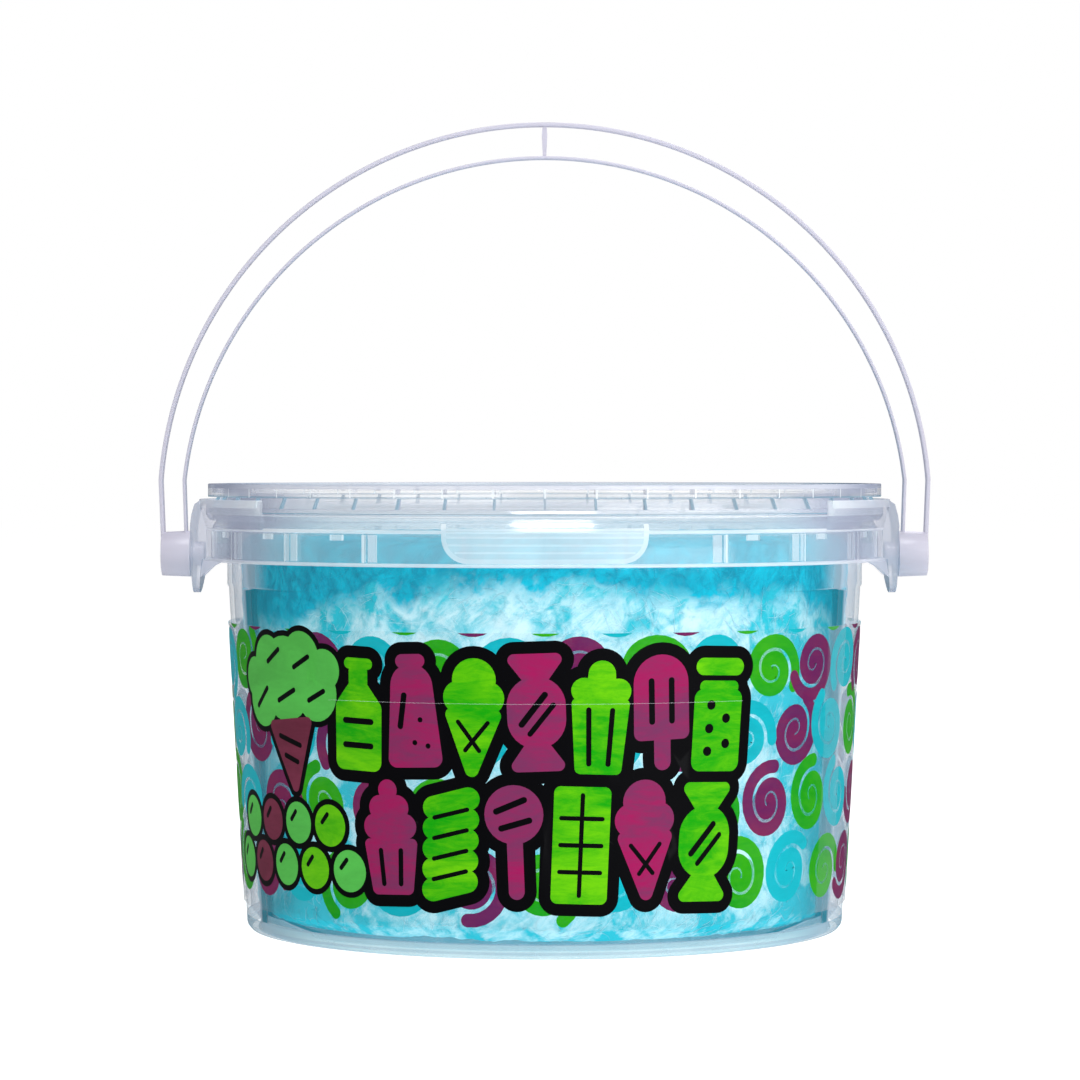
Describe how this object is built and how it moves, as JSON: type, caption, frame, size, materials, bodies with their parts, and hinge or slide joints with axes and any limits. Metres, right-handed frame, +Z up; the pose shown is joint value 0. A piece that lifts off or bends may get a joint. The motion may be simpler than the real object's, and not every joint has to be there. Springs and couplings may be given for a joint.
{
  "type": "tub of cotton candy",
  "caption": "Clear round plastic tub filled with blue cotton candy, with a ribbed snap lid, a printed wrap label and a swing handle of thin strands.",
  "frame": {"origin": "centre of the foot, on the surface that the tub stands on", "axes": "+Z up, out through the lid; -Y towards the grip tab on the front of the collar; X through the two hubs of the handle"},
  "size_m": [0.1696, 0.1494, 0.1762],
  "materials": {
    "clear_tub": "clear moulded polypropylene, smooth and slightly hazy",
    "clear_lid": "clear moulded polypropylene, smooth and slightly hazy",
    "pale_handle": "natural moulded polypropylene, milky",
    "printed_film": "clear label film with bright green, magenta, cyan and black inks",
    "spun_sugar": "pale blue fluff of very fine sugar threads"
  },
  "bodies": {
    "tub": {"tub": "clear_tub", "lid": "clear_lid", "label": "printed_film", "candy": "spun_sugar"},
    "handle": {"handle": "pale_handle"}
  },
  "joints": [
    {"name": "handle_swing", "type": "hinge", "parent": "tub", "child": "handle", "pos_m": [0, 0, 0.0816], "axis": [1, 0, 0], "range_deg": [-125, 125]}
  ]
}
